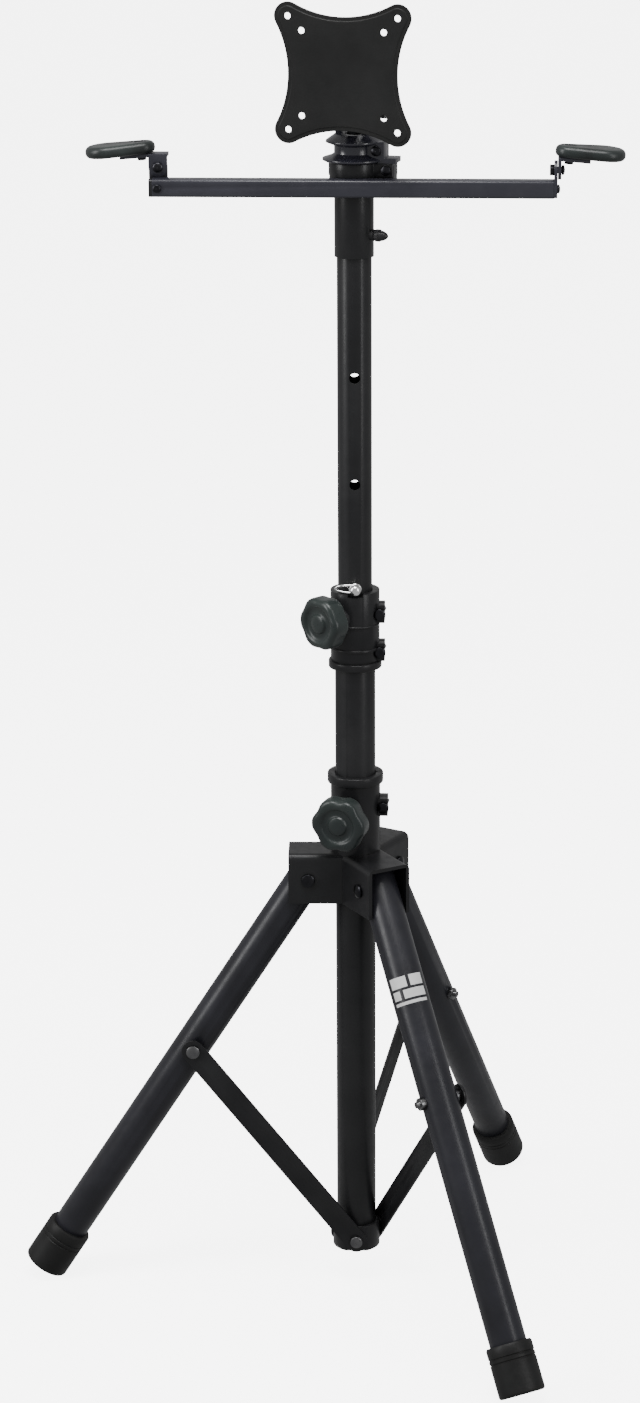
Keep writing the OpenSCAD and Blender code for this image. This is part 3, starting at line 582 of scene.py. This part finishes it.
@dataclass
class Knob:
    """A lobed clamp knob with a dished face and a raised centre."""

    stand: Stand
    radius: float = 0.0252
    hollow: float = 0.0017
    lobes: int = 6
    back: float = 0.0298
    face: float = 0.049
    edge: float = 0.0045
    boss_radius: float = 0.010
    boss_start: float = 0.0293
    boss_soft: float = 0.001
    turn: float = math.radians(30.0)
    sides: int = 120
    dish: tuple[Flat, ...] = (
        (0.0185, 0.0), (0.0170, -0.0006), (0.0160, -0.0018), (0.0150, -0.0024), (0.0100, -0.0026),
        (0.0092, -0.0020), (0.0086, -0.0008), (0.0080, -0.0004), (0.0040, -0.0002),
    )

    def outline(self, shrink: float, axial: float) -> list[Vector]:
        """One ring of the lobed outline, shrunk evenly, at a distance along the axis."""
        ring = []
        for k in range(self.sides):
            angle = 2 * math.pi * k / self.sides
            wave = 0.5 - 0.5 * math.cos(self.lobes * (angle - self.turn))
            reach = self.radius - shrink - self.hollow * wave**1.4
            ring.append(Vector((reach * math.cos(angle), reach * math.sin(angle), axial)))
        return ring

    def build(self, node: str, joint: str) -> bpy.types.Object:
        """Makes one knob and replaces its CAD node.

        Args:
            node: the knob's CAD node.
            joint: the hinge that it turns on.

        Returns:
            The piece.
        """
        origin, along = self.stand.axis(joint)
        place = frame_at(origin, along)
        rings = []
        for a in quarter(5):
            shrink, lift = self.edge * (1 - math.sin(a)), self.edge * (1 - math.cos(a))
            rings.append(self.outline(shrink, self.back + lift))
        for a in quarter(5):
            shrink, drop = self.edge * (1 - math.cos(a)), self.edge * (1 - math.sin(a))
            rings.append(self.outline(shrink, self.face - drop))
        rings += [circle(radius, self.face + sink, self.sides) for radius, sink in self.dish]
        bm = bmesh.new()
        loft(bm, [[place @ p for p in ring] for ring in rings])
        boss_end = self.back + self.boss_soft
        boss = [(0.0, self.boss_start), (self.boss_radius - self.boss_soft, self.boss_start),
                (self.boss_radius, self.boss_start + self.boss_soft), (self.boss_radius, boss_end),
                (0.0, boss_end)]
        lathe(bm, boss, place, 40)
        piece = from_bmesh("grip_" + node, bm, self.stand.paints.get(Look.GRIP))
        return self.stand.settle(piece, node)


@dataclass
class Foot:
    """A rubber foot: a cup with a chamfered lip, two grooves and a worn flat."""

    stand: Stand
    leg: float = 0.490
    radius: float = 0.022
    length: float = 0.048
    tube: float = 0.01755
    lip: float = 0.0012
    grooves: tuple[float, float] = (0.010, 0.0145)
    groove: float = 0.0007
    toe: float = 0.0038

    def build(self, letter: str) -> bpy.types.Object:
        """Makes the foot of one leg and replaces its CAD node.

        Args:
            letter: the leg's letter.

        Returns:
            The piece.
        """
        start, end, r = self.leg - self.length, self.leg, self.radius
        profile: list[Flat] = [(self.tube, end - 0.006), (self.tube, start + 0.004), (self.tube, start)]
        profile += [(r - self.lip, start), (r, start + 0.002), (r, start + 0.008)]
        for offset in self.grooves:
            z, floor = start + offset, r - self.groove
            profile += [(r, z), (floor, z + 0.0006), (floor, z + 0.0014), (r, z + 0.002)]
        profile += [(r, end - 0.004)]
        profile += fillet((r, end - 0.006), (r, end), (0.01, end), self.toe, 6)
        profile += [(0.012, end), (0.011, end - 0.0012), (0.004, end - 0.0015), (0.0, end - 0.0015)]
        bm = bmesh.new()
        lathe(bm, profile, self.stand.leg_place(letter), 72)
        for vert in bm.verts:
            vert.co.z = max(vert.co.z, 0.0)
        piece = from_bmesh("rubber_foot_" + letter, bm, self.stand.paints.get(Look.RUBBER))
        return self.stand.settle(piece, "leg_foot_" + letter)


@dataclass
class Pad:
    """A moulded rest pad: pear shaped, round edged and sunk round its screw."""

    stand: Stand
    length: float = 0.063
    width: float = 0.038
    small: float = 0.013
    low: float = 0.0003
    high: float = 0.0108
    edge: float = 0.0048
    under: float = 0.0042
    well: float = 0.0052
    well_top: float = 0.0034
    dimple: Flat = (0.0062, 0.0047)
    dimple_depth: float = 0.0012
    below_joint: float = 0.005
    sides: int = 96

    def reach(self, angle: float, inset: float) -> float:
        """Distance from the screw's axis to the outline in a direction, with the outline moved in."""
        big = self.width / 2
        far = self.length - self.small - big
        r1, r2 = self.small - inset, big - inset
        tilt = math.asin((r2 - r1) / far)
        direction = Vector((math.cos(angle), abs(math.sin(angle))))
        best = r1
        b = -2 * direction.x * far
        disc = b * b - 4 * (far * far - r2 * r2)
        if disc > 0:
            best = max(best, (-b + math.sqrt(disc)) / 2)
        normal = Vector((-math.sin(tilt), math.cos(tilt)))
        lean = direction.dot(normal)
        if lean > 1e-6:
            along = r1 / lean
            touch = (direction * along).dot(Vector((math.cos(tilt), math.sin(tilt))))
            if 0 <= touch <= far * math.cos(tilt):
                best = along
        return best

    def ring(self, inset: float, height: float) -> list[Vector]:
        """One ring of the outline at a height."""
        points = []
        for k in range(self.sides):
            a = 2 * math.pi * k / self.sides
            reach = self.reach(a, inset)
            points.append(Vector((reach * math.cos(a), reach * math.sin(a), height)))
        return points

    def round_ring(self, radius: float, height: float) -> list[Vector]:
        """A circle about the screw at a height."""
        return circle(radius, height, self.sides)

    def build(self, side: str) -> bpy.types.Object:
        """Makes one side's pad and replaces its CAD node.

        Args:
            side: left or right.

        Returns:
            The piece.
        """
        origin, up = self.stand.axis(side + "_pad_turn")
        low, high = (Vector(c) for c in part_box(side + "_pad"))
        outwards = (low + high) / 2 - origin
        outwards = (outwards - up * outwards.dot(up)).normalized()
        place = Matrix((outwards, up.cross(outwards), up)).transposed().to_4x4()
        place.translation = origin - up * self.below_joint
        rings = [self.round_ring(self.well / 2, self.low)]
        for a in quarter(6):
            inset, lift = self.under * (1 - math.sin(a)), self.under * (1 - math.cos(a))
            rings.append(self.ring(inset, self.low + lift))
        rings.append(self.ring(0.0, self.high - self.edge))
        for a in quarter(6)[1:]:
            inset, drop = self.edge * (1 - math.cos(a)), self.edge * (1 - math.sin(a))
            rings.append(self.ring(inset, self.high - drop))
        wide, narrow = self.dimple
        floor = self.high - self.well_top
        rings += [self.round_ring(wide, self.high), self.round_ring(narrow, self.high - self.dimple_depth)]
        rings += [self.round_ring(narrow, floor), self.round_ring(self.well / 2, floor)]
        rings.append(self.round_ring(self.well / 2, self.low))
        bm = bmesh.new()
        loft(bm, [[place @ p for p in ring] for ring in rings], close_ends=False)
        piece = from_bmesh("rubber_" + side + "_pad", bm, self.stand.paints.get(Look.PAD), 50.0)
        return self.stand.settle(piece, side + "_pad")


@dataclass
class Plate:
    """The flat-panel plate: round corners, drawn-in sides, a stepped rim and two squares of holes."""

    stand: Stand
    square: float = 0.050
    corner: float = 0.0125
    waist_centre: float = 0.14375
    waist: float = 0.09375
    hole: float = 0.003
    rows: tuple[float, float] = (0.050, 0.0375)
    rim: float = 0.0034
    step: float = 0.0005
    slope: float = 0.0008
    soft: float = 0.0005
    chamfer: float = 0.0004
    arc: int = 24

    def outline(self, inset: float, y: float, middle: Vector) -> list[Vector]:
        """The plate's outline moved in, at a distance along Y."""
        lean = math.atan2(self.square, self.waist_centre - self.square)
        points = []
        for quarter in range(4):
            turn = Matrix.Rotation(quarter * math.pi / 2, 2)
            for k in range(self.arc + 1):
                a = -lean + (math.pi / 2 + 2 * lean) * k / self.arc
                reach = self.corner - inset
                across, above = self.square + reach * math.cos(a), self.square + reach * math.sin(a)
                points.append(turn @ Vector((across, above)))
            for k in range(1, self.arc):
                a = -math.pi / 2 + lean - 2 * lean * k / self.arc
                reach = self.waist + inset
                points.append(turn @ Vector((reach * math.cos(a), self.waist_centre + reach * math.sin(a))))
        return [Vector((middle.x + p.x, y, middle.z + p.y)) for p in points]

    def build(self) -> bpy.types.Object:
        """Makes the plate and replaces its CAD node.

        Returns:
            The piece.
        """
        low, high = (Vector(c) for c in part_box("plate"))
        middle = (low + high) / 2
        front, back, soft = low.y, high.y, self.soft
        steps = [(soft, back), (0.0, back - soft), (0.0, front + self.step + soft), (soft, front + self.step)]
        steps += [(self.rim, front + self.step), (self.rim + self.slope, front)]
        bm = bmesh.new()
        rings = [[bm.verts.new(p) for p in self.outline(inset, y, middle)] for inset, y in steps]
        skin(bm, rings)
        ends: dict[int, list[bmesh.types.BMEdge]] = {0: self.loop(bm, rings[0]), 1: self.loop(bm, rings[-1])}
        for reach in self.rows:
            for sx, sz in ((1, 1), (-1, 1), (-1, -1), (1, -1)):
                at = Vector((middle.x + sx * reach, 0.0, middle.z + sz * reach))
                circles = self.hole_rings(bm, at, front, back)
                skin(bm, circles)
                ends[0] += self.loop(bm, circles[0])
                ends[1] += self.loop(bm, circles[-1])
        for edges in ends.values():
            bmesh.ops.triangle_fill(bm, use_beauty=True, use_dissolve=False, edges=edges)
        piece = from_bmesh("mounting_plate", bm, self.stand.paints.get(Look.PLATE), 14.0)
        return self.stand.settle(piece, "plate")

    def hole_rings(self, bm: bmesh.types.BMesh, at: Vector, front: float,
                   back: float) -> list[list[bmesh.types.BMVert]]:
        """The rings of one chamfered hole, from the back to the front."""
        wide, rings = self.hole + self.chamfer, []
        for radius, y in ((wide, back), (self.hole, back - self.chamfer), (self.hole, front + self.chamfer),
                          (wide, front)):
            rings.append([bm.verts.new(at + Vector((p.x, y, p.y))) for p in circle(radius, 0.0, 32)])
        return rings

    def loop(self, bm: bmesh.types.BMesh, ring: list[bmesh.types.BMVert]) -> list[bmesh.types.BMEdge]:
        """The edges of a closed ring."""
        return [bm.edges.get((a, b)) or bm.edges.new((a, b)) for a, b in zip(ring, ring[1:] + ring[:1])]


@dataclass
class LockPin:
    """The bright lock pin with its washer, round head and wire bail."""

    stand: Stand
    radius: float = 0.004
    head: float = 0.0052
    wire: float = 0.0012
    tip: float = -0.0195
    face: float = 0.0163
    bail_path: tuple[Point, ...] = (
        (0.0042, 0.0010, 0.0), (0.0043, 0.0060, -0.0002), (0.0038, 0.0120, -0.0010),
        (0.0026, 0.0165, -0.0022), (0.0006, 0.0186, -0.0032), (-0.0014, 0.0168, -0.0026),
        (-0.0022, 0.0120, -0.0012), (-0.0028, 0.0060, -0.0002), (-0.0030, 0.0010, 0.0),
    )

    def build(self) -> bpy.types.Object:
        """Makes the pin and replaces its CAD node.

        Returns:
            The piece.
        """
        along = Vector(self.stand.joints["pin_pull"]["axis"])
        low, high = (Vector(c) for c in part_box("lock_pin"))
        middle = Vector((0.0, 0.0, (low.z + high.z) / 2))
        place = frame_at(middle, along)
        bm = bmesh.new()
        tip, face = self.tip, self.face
        profile = [(0.0, tip), (0.0026, tip + 0.0002), (self.radius - 0.0003, tip + 0.0013)]
        profile += [(self.radius, tip + 0.0023), (self.radius, face)]
        profile += [(0.0056, face), (0.0060, face + 0.0004), (0.0060, face + 0.0020)]
        profile += [(0.0056, face + 0.0024), (0.0036, face + 0.0024), (0.0034, face + 0.0036)]
        for k in range(9):
            a = -0.9 + (math.pi / 2 + 0.9) * k / 8
            radius = 0.0 if k == 8 else self.head * math.cos(a)
            profile.append((radius, face + 0.0066 + self.head * 0.72 * math.sin(a)))
        lathe(bm, profile, place, 40)
        self.bail(bm, place, face + 0.0030)
        piece = from_bmesh("bright_lock_pin", bm, self.stand.paints.get(Look.CHROME), 45.0)
        return self.stand.settle(piece, "lock_pin")

    def bail(self, bm: bmesh.types.BMesh, place: Matrix, height: float) -> None:
        """Adds the wire loop that hangs off the pin to one side.

        Args:
            bm: the mesh to add to.
            place: the pin's placement, with +X up.
            height: how far out along the pin the wire lies.
        """
        path = [Vector((x, y, height + z)) for x, y, z in self.bail_path]
        rings = []
        for k, here in enumerate(path):
            after = path[min(k + 1, len(path) - 1)]
            before = path[max(k - 1, 0)]
            turn = frame_at(here, after - before)
            rings.append([place @ (turn @ p) for p in circle(self.wire, 0.0, 12)])
        loft(bm, rings)


@dataclass
class Band:
    """A raised, rounded band round a clamp or a collar."""

    stand: Stand
    gap: float = 0.30
    bed: float = 0.0004
    heel: float = 0.0014
    fullness: float = 0.6
    sides: int = 72

    def build(self, name: str, node: str, centre: tuple[float, float, float, float], tall: float,
              proud: float, look: Look, slit: float | None = None) -> bpy.types.Object:
        """Makes one band.

        Args:
            name: the piece's name.
            node: the CAD node that it lies on.
            centre: the axis' X and Y, the band's middle height and the radius it lies on.
            tall: its height.
            proud: how far it stands out.
            look: its finish.
            slit: the direction of the opening in it, in degrees, if there is one.

        Returns:
            The piece.
        """
        x, y, z, radius = centre
        section = []
        for k in range(9):
            a = -math.pi / 2 + math.pi * k / 8
            bulge = (proud + self.bed) * max(math.cos(a), 0.0) ** self.fullness
            section.append((radius - self.bed + bulge, z + tall / 2 * math.sin(a)))
        section.append((radius - self.heel, z))
        start = 0.0 if slit is None else math.radians(slit) + self.gap
        sweep = 2 * math.pi if slit is None else 2 * math.pi - 2 * self.gap
        rings = []
        for k in range(self.sides + 1):
            a = start + sweep * k / self.sides
            rings.append([Vector((x + r * math.cos(a), y + r * math.sin(a), h)) for r, h in section])
        bm = bmesh.new()
        loft(bm, rings, close_ends=slit is not None)
        piece = from_bmesh(name, bm, self.stand.paints.get(look))
        return self.stand.settle(piece, node, stands_for=False)


@dataclass
class Print:
    """Plain pale bars printed on the front leg, with no lettering."""

    stand: Stand
    leg_radius: float = 0.0175
    proud: float = 0.00012
    sunk: float = 0.0002
    middle: float = 0.106
    facing: float = math.radians(28.0)
    bars: tuple[tuple[Flat, Flat], ...] = (
        ((-0.0165, -0.0060), (-0.98, -0.20)), ((-0.0165, -0.0060), (-0.02, 0.98)),
        ((-0.0035, 0.0050), (-0.98, 0.30)), ((-0.0035, 0.0050), (0.50, 0.98)),
        ((0.0075, 0.0105), (-0.98, 0.98)),
    )

    def build(self, letter: str) -> bpy.types.Object:
        """Makes the bars on one leg.

        Args:
            letter: the leg's letter.

        Returns:
            The piece.
        """
        place = self.stand.leg_place(letter)
        bm = bmesh.new()
        for along, around in self.bars:
            self.bar(bm, place, along, around)
        piece = from_bmesh("pale_print", bm, self.stand.paints.get(Look.PRINT))
        return self.stand.settle(piece, "leg_tube_" + letter, stands_for=False)

    def bar(self, bm: bmesh.types.BMesh, place: Matrix, along: Flat, around: Flat) -> None:
        """Adds one closed, curved bar.

        Args:
            bm: the mesh to add to.
            place: the leg's placement.
            along: its ends along the leg, from the print's middle.
            around: its ends round the leg, in radians from the print's middle.
        """
        section = ((-self.sunk, along[0]), (self.proud, along[0]), (self.proud, along[1]),
                   (-self.sunk, along[1]))
        rings = []
        for k in range(13):
            a = self.facing + around[0] + (around[1] - around[0]) * k / 12
            ring = []
            for offset, z in section:
                reach = self.leg_radius + offset
                ring.append(place @ Vector((reach * math.cos(a), reach * math.sin(a), self.middle + z)))
            rings.append(ring)
        loft(bm, rings)


class Assembly:
    """Builds all the sub-assemblies in order."""

    def __init__(self, stand: Stand) -> None:
        """Args: stand: what the sub-assemblies share."""
        self.stand = stand

    def plain(self) -> None:
        """Refines the pieces whose CAD shape is right."""
        table: list[tuple[Look, float, str]] = [
            (Look.TUBE, 0.0003, "lower_tube mast_tube"),
            (Look.LEG, 0.0003, "leg_tube_a leg_tube_b leg_tube_c"),
            (Look.BAR, 0.0004, "crossbar"),
            (Look.TUBE, 0.0006, "bar_sleeve"),
            (Look.PRESSED, 0.0009, "hub_ring clamp_ring"),
            (Look.PRESSED, 0.0004, "clamp_body base_collar head_collar"),
            (Look.PRESSED, 0.0004, "brace_a brace_b brace_c tilt_bracket"),
            (Look.BAR, 0.0003, "left_post right_post left_tab right_tab"),
            (Look.HEAD, 0.0008, "spool"),
            (Look.PLASTIC, 0.0005, "tilt_knob bar_plugs thumbscrew base_plug mast_bushing mast_cap"),
            (Look.PLASTIC, 0.0005, "mast_glide"),
            (Look.PLASTIC, 0.0005, "leg_plug_a leg_plug_b leg_plug_c"),
            (Look.ZINC, 0.0003, "brace_bolt_a brace_bolt_b brace_bolt_c"),
            (Look.ZINC, 0.0003, "brace_rivet_a brace_rivet_b brace_rivet_c"),
            (Look.ZINC, 0.0003, "clamp_screw hub_screw"),
            (Look.BLACKED, 0.0003, "leg_pivot_bolts post_screws tab_bolts left_pad_screw right_pad_screw"),
            (Look.BLACKED, 0.0003, "clamp_bolts hub_bolt collar_screw spool_bolts clamp_shoe hub_shoe"),
        ]
        for look, width, names in table:
            for node in names.split():
                self.stand.refine(node, look, width)

    def build(self) -> None:
        """Builds everything."""
        self.plain()
        self.stand.dress("hub_housing", Look.PRESSED)
        Plate(self.stand).build()
        LockPin(self.stand).build()
        self.trim()
        Knob(self.stand).build("clamp_knob", "clamp_knob_turn")
        Knob(self.stand, radius=0.0268, hollow=0.0024).build("hub_knob", "hub_knob_turn")
        for letter in "abc":
            Foot(self.stand).build(letter)
        for side in ("left", "right"):
            Pad(self.stand).build(side)

    def block(self, name: str, node: str, low: Vector, high: Vector, look: Look,
              soft: float) -> bpy.types.Object:
        """Makes a rounded block between two corners on a node's body.

        Args:
            name: the piece's name.
            node: the CAD node that it lies on.
            low: its lowest corner.
            high: its highest corner.
            look: its finish.
            soft: how far its edges are rounded.

        Returns:
            The piece.
        """
        bm = bmesh.new()
        made = bmesh.ops.create_cube(bm, size=1.0)
        for vert in made["verts"]:
            vert.co = (low + high) / 2 + Vector(c * d for c, d in zip(vert.co, high - low))
        bmesh.ops.bevel(bm, geom=list(bm.edges), offset=soft, segments=3, profile=0.5, affect="EDGES")
        piece = from_bmesh(name, bm, self.stand.paints.get(look))
        return self.stand.settle(piece, node, stands_for=False)

    def trim(self) -> None:
        """Adds the clamp's bands, the print, the head collar's lug and foot ring, and the screw's ribs."""
        self.bands()
        Print(self.stand).build("b")
        self.collar()
        origin, along = self.stand.axis("thumbscrew_turn")
        ribs = self.stand.repeater.ribs(
            "thumbscrew_ribs", frame_at(origin, along), self.stand.paints.get(Look.PLASTIC),
            Count=18, Ring_Radius=0.0052, Rib_Radius=0.0005, Rib_Length=0.0040, Height=0.0250)
        self.stand.settle(ribs, "thumbscrew", stands_for=False)

    def bands(self) -> None:
        """Adds the two bands round the upper clamp, open where the clamp is slit."""
        clamp_radius, slit = 0.023, 12.0
        low, _ = (Vector(c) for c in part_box("clamp_body"))
        for name, above, tall, proud in (("clamp_band_lower", 0.0125, 0.0030, 0.0011),
                                         ("clamp_band_upper", 0.0360, 0.0024, 0.0009)):
            centre = (0.0, 0.0, low.z + above, clamp_radius)
            Band(self.stand).build(name, "clamp_body", centre, tall, proud, Look.PRESSED, slit)

    def collar(self) -> None:
        """Adds the head collar's clamp lug and the ring at its foot."""
        start, half, drop, soft = 0.019, 0.0085, 0.0105, 0.0016
        low, high = (Vector(c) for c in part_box("head_collar"))
        one = Vector((start, -half, low.z - drop))
        two = Vector((high.x + 0.0004, half, high.z - 0.001))
        self.block("collar_lug", "head_collar", one, two, Look.PRESSED, soft)
        radius, tall, proud = 0.0190, 0.0070, 0.0035
        centre = (0.0, 0.0, low.z - 0.0025, radius)
        Band(self.stand).build("collar_foot", "head_collar", centre, tall, proud, Look.PRESSED)


# ---------- stage ----------


@dataclass
class Stage:
    """The floor, the lights and the camera."""

    camera_at: Point = (0.797, -3.103, 1.607)
    turn: float = 15.0
    pitch: float = 17.527
    roll: float = -0.316
    lens: float = 91.37
    sensor: float = 36.0
    white: float = 0.50
    glow: float = 5.5
    floor_size: float = 40.0
    aim: Point = (0.0, 0.0, 0.6)
    lamps: tuple[tuple[str, Point, Flat, float], ...] = (
        ("left box", (-2.2, -1.6, 1.9), (0.9, 2.2), 60.0),
        ("right box", (2.4, -1.2, 1.5), (0.7, 2.0), 26.0),
        ("top box", (0.0, -0.8, 3.2), (1.6, 1.2), 80.0),
    )

    def camera(self) -> None:
        """Makes the camera."""
        data = bpy.data.cameras.new("camera")
        data.lens = self.lens
        data.sensor_fit = "VERTICAL"
        data.sensor_width = self.sensor
        data.sensor_height = self.sensor
        data.clip_end = 50.0
        camera = bpy.data.objects.new("camera", data)
        bpy.context.scene.collection.objects.link(camera)
        turn = Matrix.Rotation(math.radians(self.turn), 4, "Z")
        tip = Matrix.Rotation(math.radians(90.0 - self.pitch), 4, "X")
        roll = Matrix.Rotation(math.radians(self.roll), 4, "Z")
        camera.matrix_world = Matrix.Translation(self.camera_at) @ turn @ tip @ roll
        bpy.context.scene.camera = camera

    def floor(self) -> None:
        """Makes the pale floor."""
        bm = bmesh.new()
        bmesh.ops.create_grid(bm, x_segments=1, y_segments=1, size=self.floor_size)
        mesh = bpy.data.meshes.new("floor")
        bm.to_mesh(mesh)
        bm.free()
        material = bpy.data.materials.new("pale_floor")
        material.use_nodes = True
        shader = material.node_tree.nodes["Principled BSDF"]
        shader.inputs["Base Color"].default_value = (0.9, 0.9, 0.9, 1.0)
        shader.inputs["Roughness"].default_value = 0.9
        shader.inputs["Specular IOR Level"].default_value = 0.0
        shader.inputs["Emission Color"].default_value = (1.0, 1.0, 1.0, 1.0)
        shader.inputs["Emission Strength"].default_value = self.glow
        floor = bpy.data.objects.new("floor", mesh)
        mesh.materials.append(material)
        floor.location.z = -0.0005
        floor.visible_diffuse = False
        floor.visible_glossy = False
        bpy.context.scene.collection.objects.link(floor)

    def lamp(self, name: str, at: Point, size: Flat, power: float) -> None:
        """Adds a soft box that faces the stand.

        Args:
            name: the lamp's name.
            at: where it hangs.
            size: its width and height.
            power: its power in watts.
        """
        data = bpy.data.lights.new(name, "AREA")
        data.shape = "RECTANGLE"
        data.size, data.size_y = size
        data.energy = power
        lamp = bpy.data.objects.new(name, data)
        lamp.location = at
        aim = Vector(self.aim) - Vector(at)
        lamp.rotation_euler = aim.to_track_quat("-Z", "Y").to_euler()
        bpy.context.scene.collection.objects.link(lamp)

    def world(self) -> None:
        """Makes the pale surroundings."""
        world = bpy.data.worlds.new("studio")
        world.use_nodes = True
        back = world.node_tree.nodes["Background"]
        back.inputs["Color"].default_value = (1.0, 1.0, 1.0, 1.0)
        back.inputs["Strength"].default_value = self.white
        bpy.context.scene.world = world

    def build(self) -> None:
        """Makes the whole stage."""
        self.camera()
        self.floor()
        self.world()
        for lamp in self.lamps:
            self.lamp(*lamp)


def main() -> None:
    """Builds the stand."""
    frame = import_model()
    stage = Stage()
    stage.build()
    stand = Stand(frame, Paints(), Repeater())
    Assembly(stand).build()


if __name__ == "__main__":
    main()
